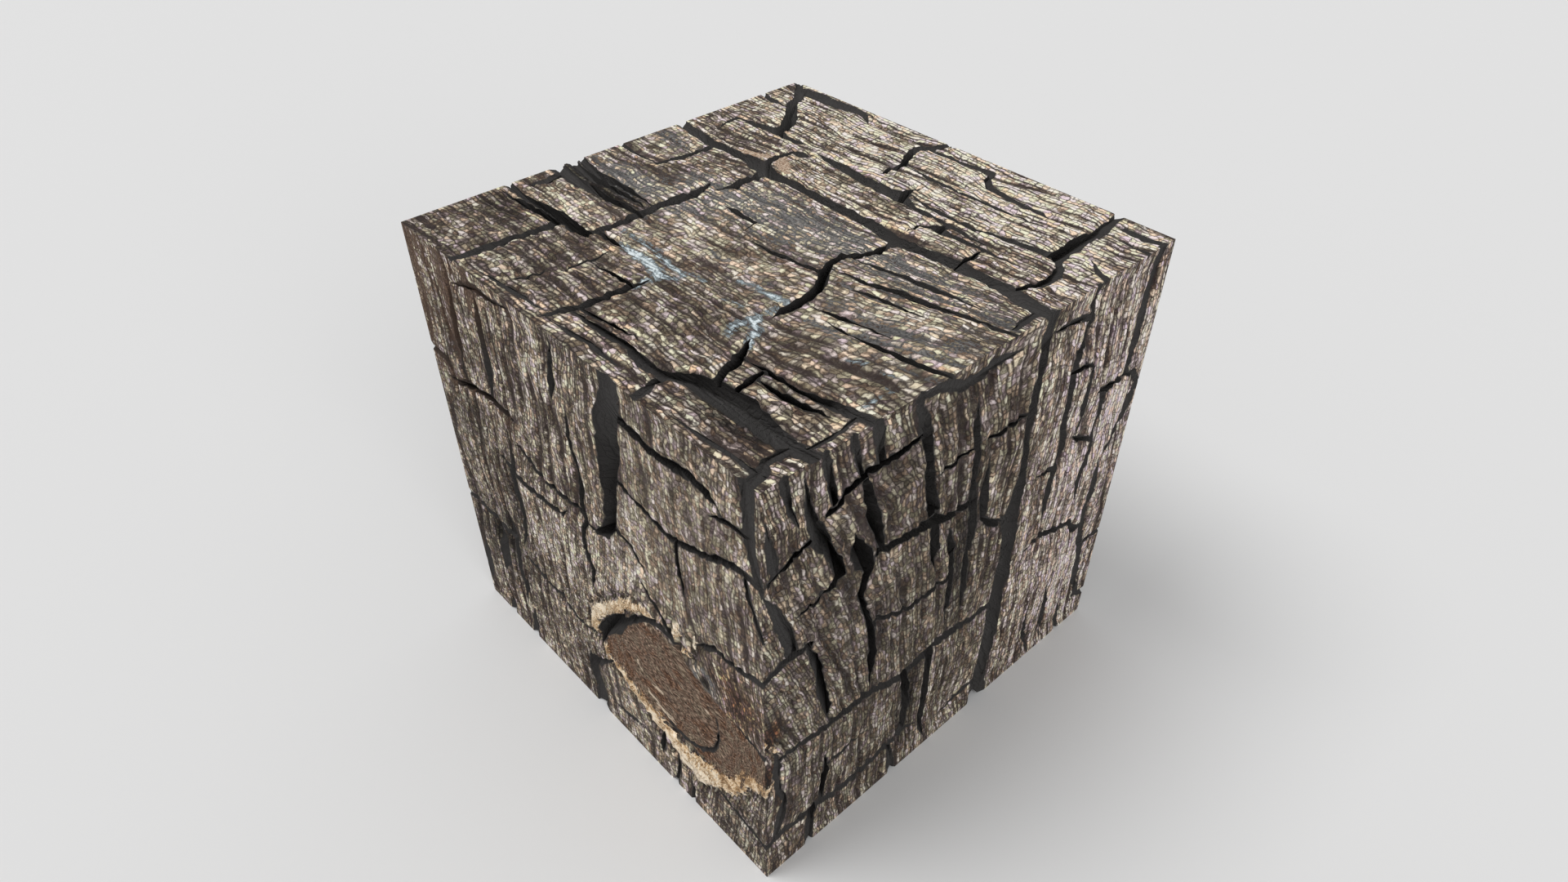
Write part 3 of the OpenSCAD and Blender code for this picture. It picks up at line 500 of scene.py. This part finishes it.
def add_node(tree, kind, inputs=None, stops=(), **settings):
    """Adds one node with its settings, its input values or links, and a ramp's colour stops."""
    made = tree.nodes.new("ShaderNode" + kind)
    for key, value in settings.items():
        setattr(made, key, value)
    for key, value in (inputs or {}).items():
        if isinstance(value, bpy.types.Node):
            value = next(socket for socket in value.outputs if socket.enabled)
        if isinstance(value, bpy.types.NodeSocket):
            tree.links.new(value, made.inputs[key])
        else:
            made.inputs[key].default_value = value
    for i, (at, code) in enumerate(stops):
        stop = made.color_ramp.elements[i] if i < 2 else made.color_ramp.elements.new(at)
        stop.position, stop.color = at, colour(code)
    return made


def stored_values(node):
    """What weather() stored in the mesh for each spot of the surface, under plain names."""
    field = {name: node("Attribute", attribute_name=name).outputs["Vector"] for name in FIELDS}
    spot = SimpleNamespace(stored_grain=field["grain"])
    spot.lip, spot.crest, spot.lighter = node("SeparateXYZ", {0: field["wear"]}).outputs
    spot.warmer, spot.greyed, spot.netted = node("SeparateXYZ", {0: field["stain"]}).outputs
    spot.film, spot.splinter, spot.fresh = node("SeparateXYZ", {0: field["marks"]}).outputs
    spot.to_heart, spot.rim, spot.browned = node("SeparateXYZ", {0: field["knot"]}).outputs
    spot.smooth = node("Attribute", attribute_name="smooth").outputs["Fac"]
    return spot


def lay_fibre(node, spot):
    """Counts the grain in chips along it and rows across it, both wandering and frayed."""
    stored = spot.stored_grain
    sway = node("TexNoise", {"Vector": node("VectorMath", {0: stored, 1: (0.3, 0.3, 0.3)},
                                            operation="MULTIPLY"), "Scale": 1, "Detail": 1})
    spot.fray = node("TexNoise", {"Vector": node("VectorMath", {0: stored, 1: (2.2, 2.2, 2)},
                                                 operation="MULTIPLY"), "Scale": 1, "Detail": 2})
    spot.grain = node("VectorMath", {0: sway.outputs["Color"], 1: (1.6, 1.5, 0), 2: stored},
                      operation="MULTIPLY_ADD")
    frayed = node("VectorMath", {0: spot.fray.outputs["Color"], 1: (0.7, 0.6, 0), 2: spot.grain},
                  operation="MULTIPLY_ADD")
    spot.along, spot.across, spot.depth = node("SeparateXYZ", {0: frayed}).outputs
    # Chips stand in the rows, a cell apart, unevenly
    chip_at = node("VectorMath", {0: frayed, 1: (0, 0.5 + UNEVEN / 2, 0)}, operation="ADD")
    chip = node("TexVoronoi", {"Vector": chip_at, "Scale": 1, "Randomness": UNEVEN},
                voronoi_dimensions="2D")
    spot.chip_edge = node("TexVoronoi", {"Vector": chip_at, "Scale": 1, "Randomness": UNEVEN},
                          voronoi_dimensions="2D", feature="DISTANCE_TO_EDGE")
    # Three numbers of its own for each chip: one for its tone, one for its hue, one for its gap
    spot.chip_tone, spot.chip_hue, spot.chip_part = node(
        "SeparateColor", {0: chip.outputs["Color"]}).outputs


def open_gaps(node, spot):
    """Shades the gaps between rows and chips, the hair checks, the fine cracks and the furrows.

    The shade is 1 on sound fibre and 0 in the deepest gap.
    """
    # Furrows between rows open to half a row in places and close in others
    bound = node("Math", {0: spot.across}, operation="ROUND")
    row_edge = node("Math", {0: spot.across, 1: 0.5}, operation="PINGPONG")
    furrow = node("TexNoise", {"Vector": node("VectorMath", {
        0: node("CombineXYZ", {0: spot.along, 1: bound}), 1: (0.11, 3.7, 0)}, operation="MULTIPLY"),
        "Scale": 1, "Detail": 2})
    open_by = node("MapRange", {0: furrow, 1: 0.45, 2: 0.62, 3: 0.14, 4: 0.5})
    row_gap = node("MapRange", {0: row_edge, 1: 0, 2: open_by, 3: 1, 4: 0},
                   interpolation_type="SMOOTHSTEP")
    row_dark = node("MapRange", {0: furrow, 1: 0.4, 2: 0.56, 3: 0.38, 4: 1})
    row_shade = node("Math", {0: node("Math", {0: row_gap, 1: row_dark}, operation="MULTIPLY"),
                              1: -1, 2: 1}, operation="MULTIPLY_ADD")
    # Chips part from each other all round, some widely
    chip_gap = node("MapRange", {0: spot.chip_edge, 1: 0.0, 2: 0.14, 3: 1, 4: 0},
                    interpolation_type="SMOOTHSTEP")
    chip_dark = node("MapRange", {0: spot.chip_part, 1: 0.1, 2: 1, 3: 0.3, 4: 0.95})
    chip_shade = node("Math", {0: node("Math", {0: chip_gap, 1: chip_dark}, operation="MULTIPLY"),
                               1: -1, 2: 1}, operation="MULTIPLY_ADD")
    # Ladders of hair checks run straight across five rows or so
    rung_row = node("Math", {0: node("Math", {0: spot.across, 1: 0.19}, operation="MULTIPLY")},
                    operation="FLOOR")
    rung_at = node("Math", {0: rung_row, 1: 9.7, 2: node("Math", {0: spot.along, 1: 0.17},
                                                         operation="MULTIPLY")},
                   operation="MULTIPLY_ADD")
    rung = node("TexVoronoi", {"W": rung_at, "Scale": 1, "Randomness": 1},
                voronoi_dimensions="1D", feature="DISTANCE_TO_EDGE")
    rung_shade = node("MapRange", {0: rung, 1: 0.008, 2: 0.03, 3: 0.3, 4: 1},
                      interpolation_type="SMOOTHSTEP")
    # A net of fine cracks, where the surface has held together
    net = node("TexVoronoi", {"Vector": node("VectorMath", {0: spot.grain, 1: (0.6, 0.4, 0.5)},
                                             operation="MULTIPLY"), "Scale": 1, "Randomness": 1},
               feature="DISTANCE_TO_EDGE")
    net_line = node("MapRange", {0: net, 1: 0.01, 2: 0.07, 3: 0.75, 4: 0},
                    interpolation_type="SMOOTHSTEP")
    net_shade = node("Math", {0: node("Math", {0: net_line, 1: spot.netted}, operation="MULTIPLY"),
                              1: -1, 2: 1}, operation="MULTIPLY_ADD", use_clamp=True)
    held = node("Math", {0: spot.netted, 1: 0.8}, operation="MULTIPLY", use_clamp=True)
    shade = node("Mix", {0: held, 2: row_shade, 3: 1.0}, data_type="FLOAT")
    # The worn furrows are dark, with ragged sides
    worn = node("Math", {0: node("Math", {0: spot.fray, 1: 0.5}, operation="SUBTRACT"), 1: 1.2,
                         2: spot.crest}, operation="MULTIPLY_ADD")
    worn_shade = node("MapRange", {0: worn, 1: 0.28, 2: 0.64, 3: 0.12, 4: 1},
                      interpolation_type="SMOOTHSTEP")
    for lines in (chip_shade, rung_shade, net_shade, worn_shade):
        shade = node("Math", {0: shade, 1: lines}, operation="MULTIPLY")
    # Smooth wood shows less of its gaps
    spot.shade = node("Mix", {0: node("Math", {0: spot.smooth, 1: 0.4}, operation="MULTIPLY"),
                              2: shade, 3: 1.0}, data_type="FLOAT")


def set_tone(node, spot):
    """Chips differ, rows keep to a tone for a while, and broad areas bleach or stay dark."""
    row = node("Math", {0: spot.across}, operation="FLOOR")
    streaks = node("TexNoise", {"Vector": node("VectorMath", {
        0: node("CombineXYZ", {0: spot.along, 1: row}), 1: (0.11, 5.3, 0)}, operation="MULTIPLY"),
        "Scale": 1, "Detail": 2})
    broad = node("TexNoise", {"Vector": node("VectorMath", {0: spot.grain, 1: (0.11, 0.14, 0.2)},
                                             operation="MULTIPLY"),
                              "Scale": 1, "Detail": 3, "Roughness": 0.6})
    spot.grit = node("TexNoise", {"Vector": node("VectorMath", {0: spot.grain, 1: (2.4, 2.0, 4)},
                                                 operation="MULTIPLY"),
                                  "Scale": 1, "Detail": 4, "Roughness": 0.65})
    # Bundles of rows, about 2 mm wide and 7 mm long, that weather alike
    bundles = node("TexNoise", {"Vector": node("VectorMath", {0: spot.grain, 1: (0.17, 0.4, 0.4)},
                                               operation="MULTIPLY"), "Scale": 1, "Detail": 2})
    # Above 0, lighter holds bleached wood and the painted highlights along the checks' lips
    bleach_and_highlight = node("Math", {0: spot.lighter, 1: 0}, operation="MAXIMUM")
    plain = node("Math", {0: bleach_and_highlight, 1: 0.42, 2: 0.512}, operation="MULTIPLY_ADD")
    value = node("Math", {0: plain, 1: 0.02}, operation="ADD")
    # Each layer with its mean and how far it sways the tone. Chip edges and crests are painted shading:
    # chips lighter in their middles than at their gaps, ridges lighter than furrows
    for layer, mean, amount in (
            (spot.chip_tone, 0.5, 0.42), (spot.chip_edge, 0.2, 0.35), (streaks, 0.5, 0.72),
            (broad, 0.5, 0.8), (bundles, 0.5, 0.75), (spot.crest, 0.7, 0.3),
            (spot.grit, 0.5, 0.9)):
        value = node("Math", {0: node("Math", {0: layer, 1: mean}, operation="SUBTRACT"),
                              1: amount, 2: value}, operation="MULTIPLY_ADD")
    # Smooth wood keeps nearer to its plain tone
    spot.value = node("Mix", {0: node("Math", {0: spot.smooth, 1: 0.55}, operation="MULTIPLY"),
                              2: value, 3: plain}, data_type="FLOAT")


def silvered_fibre(node, spot):
    """Sun-bleached grey fibre, brown-black painted shade in its gaps, each chip with a slight hue of its
    own.
    """
    wood = node("ValToRGB", {0: spot.value}, stops=[
        (0.0, "#231f1f"), (0.2, "#3f3735"), (0.36, "#5f5650"), (0.52, "#857c74"),
        (0.65, "#b0a79e"), (0.76, "#ddd5cd"), (0.88, "#f8f4ee")])
    # Chips differ in hue: a mauve cast, none, an olive cast or tan
    wood = node("Mix", {0: 1, 6: wood, 7: node("ValToRGB", {0: spot.chip_hue}, stops=[
        (0.0, "#eddeeb"), (0.28, "#fffaf6"), (0.58, "#f3f5dc"), (0.92, "#ffe9d4")])},
        data_type="RGBA", blend_type="MULTIPLY")
    # Warmer wood turns tan, and below 0 it has a cool, rosy cast
    wood = node("Mix", {0: node("MapRange", {0: spot.warmer, 1: 0.05, 2: 1.0, 3: 0, 4: 0.8}),
                        6: wood, 7: colour("#75492a")}, data_type="RGBA", blend_type="OVERLAY")
    rosy = node("Math", {0: spot.warmer, 1: -1}, operation="MULTIPLY", use_clamp=True)
    wood = node("Mix", {0: rosy, 6: wood, 7: node("Mix", {0: 1, 6: wood, 7: colour("#f7f2fc")},
                                                  data_type="RGBA", blend_type="MULTIPLY")},
                data_type="RGBA")
    # The gaps get brown-black painted shade; damp places are darker wood all over, and hollows darker
    # with painted shade
    wood = node("Mix", {0: spot.shade, 6: colour("#332a28"), 7: wood}, data_type="RGBA")
    dim = node("Math", {0: 8, 1: node("Math", {0: spot.lighter, 1: 0}, operation="MINIMUM")},
               operation="POWER")
    return node("Mix", {0: 1, 6: wood, 7: node("CombineColor", {0: dim, 1: dim, 2: dim})},
                data_type="RGBA", blend_type="MULTIPLY")


def ragged_edges(node, spot):
    """How far, in mm, the edges of the films, the knot and the fresh wood stray from their line."""
    ragged = node("TexNoise", {"Vector": node("VectorMath", {0: spot.grain, 1: (0.9, 0.8, 1)},
                                              operation="MULTIPLY"),
                               "Scale": 1, "Detail": 5, "Roughness": 0.7})
    spot.ragged_mm = node("Math", {0: node("Math", {0: ragged, 1: 0.5}, operation="SUBTRACT"),
                                   1: 5.5}, operation="MULTIPLY")


def knot_and_fresh_wood(node, spot, wood):
    """The knot's brown heart and its torn gold rim, pale splinters and freshly broken tan wood."""
    # The heart is dense, felted fibre, rusty in some places and olive in others
    specks = node("TexNoise", {"Vector": node("VectorMath", {0: spot.grain, 1: (1.9, 1.4, 1)},
                                              operation="MULTIPLY"),
                               "Scale": 1, "Detail": 6, "Roughness": 0.75})
    clouds = node("TexNoise", {"Vector": node("VectorMath", {0: spot.grain, 1: (0.22, 0.3, 0.5)},
                                              operation="MULTIPLY"),
                               "Scale": 1, "Detail": 4, "Roughness": 0.65})
    speckled = node("Math", {0: specks, 1: 2.8, 2: -1.09}, operation="MULTIPLY_ADD")
    mottled = node("Math", {0: clouds, 1: 0.45, 2: speckled}, operation="MULTIPLY_ADD")
    heartwood = node("ValToRGB", {0: mottled}, stops=[
        (0.3, "#2d251f"), (0.46, "#524338"), (0.6, "#735f51"), (0.84, "#b8a694")])
    rusty = node("Math", {0: spot.warmer, 1: -0.14, 2: clouds}, operation="MULTIPLY_ADD")
    heartwood = node("Mix", {0: 1, 6: heartwood, 7: node("ValToRGB", {0: rusty}, stops=[
        (0.38, "#ffddc2"), (0.48, "#fff4ed"), (0.6, "#f1f2e8")])},
        data_type="RGBA", blend_type="MULTIPLY")
    # Torn fibre round it stands in lobes, gold next to the heart and cream on the outer lips, with
    # painted highlights on the lobes' crests and painted shade in the clefts between
    frizzed = node("VectorMath", {0: spot.fray.outputs["Color"], 1: [FRIZZ * MM] * 3,
                                  2: node("TexCoord").outputs["Object"]},
                   operation="MULTIPLY_ADD")
    lobe = node("TexVoronoi", {"Vector": frizzed, "Scale": 1 / (LOBE * MM), "Randomness": 1},
                feature="DISTANCE_TO_EDGE")
    torn_level = node("Math", {0: lobe, 1: 1.0, 2: node("Math", {0: speckled, 1: 0.75, 2: 0.16},
                                                        operation="MULTIPLY_ADD")},
                      operation="MULTIPLY_ADD")
    torn_level = node("Math", {0: spot.to_heart, 1: 0.055, 2: torn_level},
                      operation="MULTIPLY_ADD")
    torn = node("ValToRGB", {0: torn_level}, stops=[
        (0.2, "#4a392b"), (0.36, "#8d6b49"), (0.5, "#bd986d"), (0.66, "#e5c8a1"),
        (0.86, "#faead2")])
    cleft_shade = node("MapRange", {0: lobe, 1: 0.01, 2: 0.09, 3: 0.4, 4: 0},
                 interpolation_type="SMOOTHSTEP")
    torn = node("Mix", {0: cleft_shade, 6: torn, 7: colour("#3a2b20")}, data_type="RGBA")
    # Freshly broken wood is tan, and splinters are cream
    broken = node("ValToRGB", {0: spot.grit}, stops=[
        (0.35, "#7d6450"), (0.5, "#b09680"), (0.62, "#dccbb6")])
    cream = node("ValToRGB", {0: specks}, stops=[(0.3, "#a8937a"), (0.65, "#ecdcc4")])
    for reach, rough, tint in ((spot.to_heart, 0.4, heartwood), (spot.rim, 0.9, torn),
                               (spot.fresh, 0.5, broken), (spot.splinter, 0.5, cream)):
        at = node("Math", {0: spot.ragged_mm, 1: rough, 2: reach}, operation="MULTIPLY_ADD")
        there = node("MapRange", {0: at, 1: 0.2, 2: -0.1, 3: 0, 4: 1},
                     interpolation_type="SMOOTHSTEP")
        wood = node("Mix", {0: there, 6: wood, 7: tint}, data_type="RGBA")
    return wood


def grey_and_brown_films(node, spot, wood):
    """Thin films, in patches of 1 to 3 mm, that lie in the gaps and over the darker chips."""
    patchy = node("TexNoise", {"Vector": node("VectorMath", {0: spot.grain, 1: (0.45, 0.9, 0.5)},
                                              operation="MULTIPLY"),
                               "Scale": 1, "Detail": 4, "Roughness": 0.65})
    level = node("Math", {0: patchy, 1: 1.4, 2: node("Math", {0: spot.value, 1: -0.9},
                                                     operation="MULTIPLY")},
                 operation="MULTIPLY_ADD")
    level = node("Math", {0: spot.shade, 1: -0.3, 2: level}, operation="MULTIPLY_ADD")
    # The chips under a film still show, because it is painted darker in their gaps, as painted shade
    grit_and_gap_shade = node("Math", {0: spot.shade, 1: 0.22, 2: spot.grit}, operation="MULTIPLY_ADD")
    for amount, dark, pale in ((spot.greyed, "#444445", "#8b8a88"),
                               (spot.browned, "#43342b", "#6f594a")):
        cover = node("MapRange", {0: node("Math", {0: amount, 1: 0.7, 2: level},
                                          operation="MULTIPLY_ADD"),
                                  1: 0.44, 2: 0.58, 3: 0, 4: 0.82}, interpolation_type="SMOOTHSTEP")
        tint = node("ValToRGB", {0: grit_and_gap_shade}, stops=[(0.46, dark), (0.82, pale)])
        wood = node("Mix", {0: cover, 6: wood, 7: tint}, data_type="RGBA")
    return wood


def pale_film(node, spot, wood):
    """A film dried on the top, slate at its rim, near white where thick, and missing in gaps."""
    film_at = node("Math", {0: spot.ragged_mm, 1: 0.7, 2: spot.film}, operation="MULTIPLY_ADD")
    film_at = node("Math", {0: spot.shade, 1: -0.6, 2: film_at}, operation="MULTIPLY_ADD")
    dried = node("ValToRGB", {0: node("MapRange", {0: film_at, 1: -0.25, 2: -1.5, 3: 0, 4: 1})},
                 stops=[(0.0, "#4f5558"), (0.3, "#6d7579"), (0.5, "#909b9f"), (0.66, "#bccacf"),
                        (0.85, "#e0eaed")])
    film_there = node("MapRange", {0: film_at, 1: -0.2, 2: -0.5, 3: 0, 4: 0.95},
                      interpolation_type="SMOOTHSTEP")
    return node("Mix", {0: film_there, 6: wood, 7: dried}, data_type="RGBA")


def check_walls(node, spot, wood):
    """Check walls in charcoal-dark painted shade, brown under the brown film; soot and shade reach over
    the lips.
    """
    # The walls are painted near-black as painted shade, and painted lighter further down, against the
    # real shadow there
    painted_wall_shade = node("ValToRGB", {0: node("MapRange", {0: spot.depth, 1: 0, 2: 6, 3: 0, 4: 1})},
                    stops=[(0.0, "#333130"), (0.3, "#454342"), (1.0, "#6c6a68")])
    under_brown = node("Math", {0: spot.browned, 1: 1}, operation="MULTIPLY", use_clamp=True)
    wall = node("Mix", {0: under_brown, 6: painted_wall_shade, 7: colour("#41332a")}, data_type="RGBA")
    # Soot and painted shade darken the face beside the lips; the walls themselves take the walls'
    # painted shade
    sooty_shade = node("Math", {0: spot.ragged_mm, 1: 0.5, 2: spot.lip}, operation="MULTIPLY_ADD")
    for reach, start, end in ((sooty_shade, 0.9, 0.1), (spot.lip, -0.02, -0.3)):
        wood = node("Mix", {0: node("MapRange", {0: reach, 1: start, 2: end, 3: 0, 4: 1}),
                            6: wood, 7: wall}, data_type="RGBA")
    return wood


def weathered_wood():
    """Softwood left in the open: rows of split, silvered fibre over dark furrows and gaps."""
    material = bpy.data.materials.new("weathered_softwood")
    material.use_nodes = True
    material.node_tree.nodes.clear()
    node = partial(add_node, material.node_tree)

    spot = stored_values(node)
    for work_out in (lay_fibre, open_gaps, set_tone, ragged_edges):
        work_out(node, spot)
    wood = silvered_fibre(node, spot)
    for lay_over in (knot_and_fresh_wood, grey_and_brown_films, pale_film, check_walls):
        wood = lay_over(node, spot, wood)

    relief = node("Math", {0: spot.grit, 1: 0.3, 2: spot.shade}, operation="MULTIPLY_ADD")
    bump = node("Bump", {"Height": relief, "Strength": 0.7, "Distance": GRIT_HEIGHT * MM})
    shader = node("BsdfPrincipled", {
        "Base Color": wood, "Normal": bump, "Specular IOR Level": 0.2,
        "Roughness": node("MapRange", {0: spot.value, 1: 0.2, 2: 0.9, 3: 0.92, 4: 0.78})})
    node("OutputMaterial", {"Surface": shader})
    return material


# ---------------------------------------------------------------- the piece

mesh, rim = finely_cut_block()
weather(mesh, rim)
block = bpy.data.objects.new("weathered_block", mesh)
bpy.context.scene.collection.objects.link(block)
mesh.materials.append(weathered_wood())
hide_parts(NODE)
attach(block, "root")

# ---------------------------------------------------------------- floor, light and camera

floor = bpy.data.meshes.new("floor")
bm = bmesh.new()
bmesh.ops.create_grid(bm, x_segments=1, y_segments=1, size=6)
bm.to_mesh(floor)
bm.free()
ground = bpy.data.objects.new("floor", floor)
bpy.context.scene.collection.objects.link(ground)
paper = bpy.data.materials.new("pale_paper")
paper.use_nodes = True
paper.node_tree.nodes["Principled BSDF"].inputs["Base Color"].default_value = colour("#dddddd")
paper.node_tree.nodes["Principled BSDF"].inputs["Roughness"].default_value = 0.9
floor.materials.append(paper)

# The sky gives a soft even light, and the camera sees it in the colour of the lit floor
world = bpy.data.worlds.new("studio")
bpy.context.scene.world = world
world.use_nodes = True
world.node_tree.nodes.clear()
sky = partial(add_node, world.node_tree)
path = sky("LightPath")
seen = sky("Math", {0: path.outputs["Is Camera Ray"], 1: path.outputs["Is Glossy Ray"]},
           operation="MAXIMUM")
seen = sky("Math", {0: seen, 1: path.outputs["Is Transmission Ray"]}, operation="MAXIMUM")
sky("OutputWorld", {"Surface": sky("MixShader", {
    0: seen, 1: sky("Background", {"Color": colour("#ffffff"), "Strength": 0.52}),
    2: sky("Background", {"Color": colour("#dfdfdf"), "Strength": 1})})})


def lamp(name, towards, softness, strength):
    """A far lamp that shines the way it is told, so that floor and block are lit evenly."""
    data = bpy.data.lights.new(name, "SUN")
    data.angle, data.energy = math.radians(softness), strength
    made = bpy.data.objects.new(name, data)
    made.rotation_euler = Vector(towards).to_track_quat("-Z", "Y").to_euler()
    bpy.context.scene.collection.objects.link(made)


lamp("key", (0.35, 0.45, -1), 30, 1.4)
lamp("fill", (-1, 0.25, -0.5), 40, 0.9)

# The camera looks down at the block's front right corner, from 0.26 m off the floor's origin
camera = bpy.data.objects.new("camera", bpy.data.cameras.new("camera"))
camera.data.sensor_width, camera.data.lens = 36, 24.425
camera.data.clip_start, camera.data.clip_end = 0.01, 20
ahead, up = Vector((-0.56530, 0.51795, -0.64199)), Vector((-0.47383, 0.43318, 0.76671))
across = ahead.cross(up)
stand = Vector((0.127913, -0.117053, 0.195093))
turned = Matrix((across, up, -ahead)).transposed().to_4x4()
camera.matrix_world = Matrix.Translation(stand) @ turned
bpy.context.scene.collection.objects.link(camera)
bpy.context.scene.camera = camera
bpy.context.scene.view_settings.view_transform = "Standard"
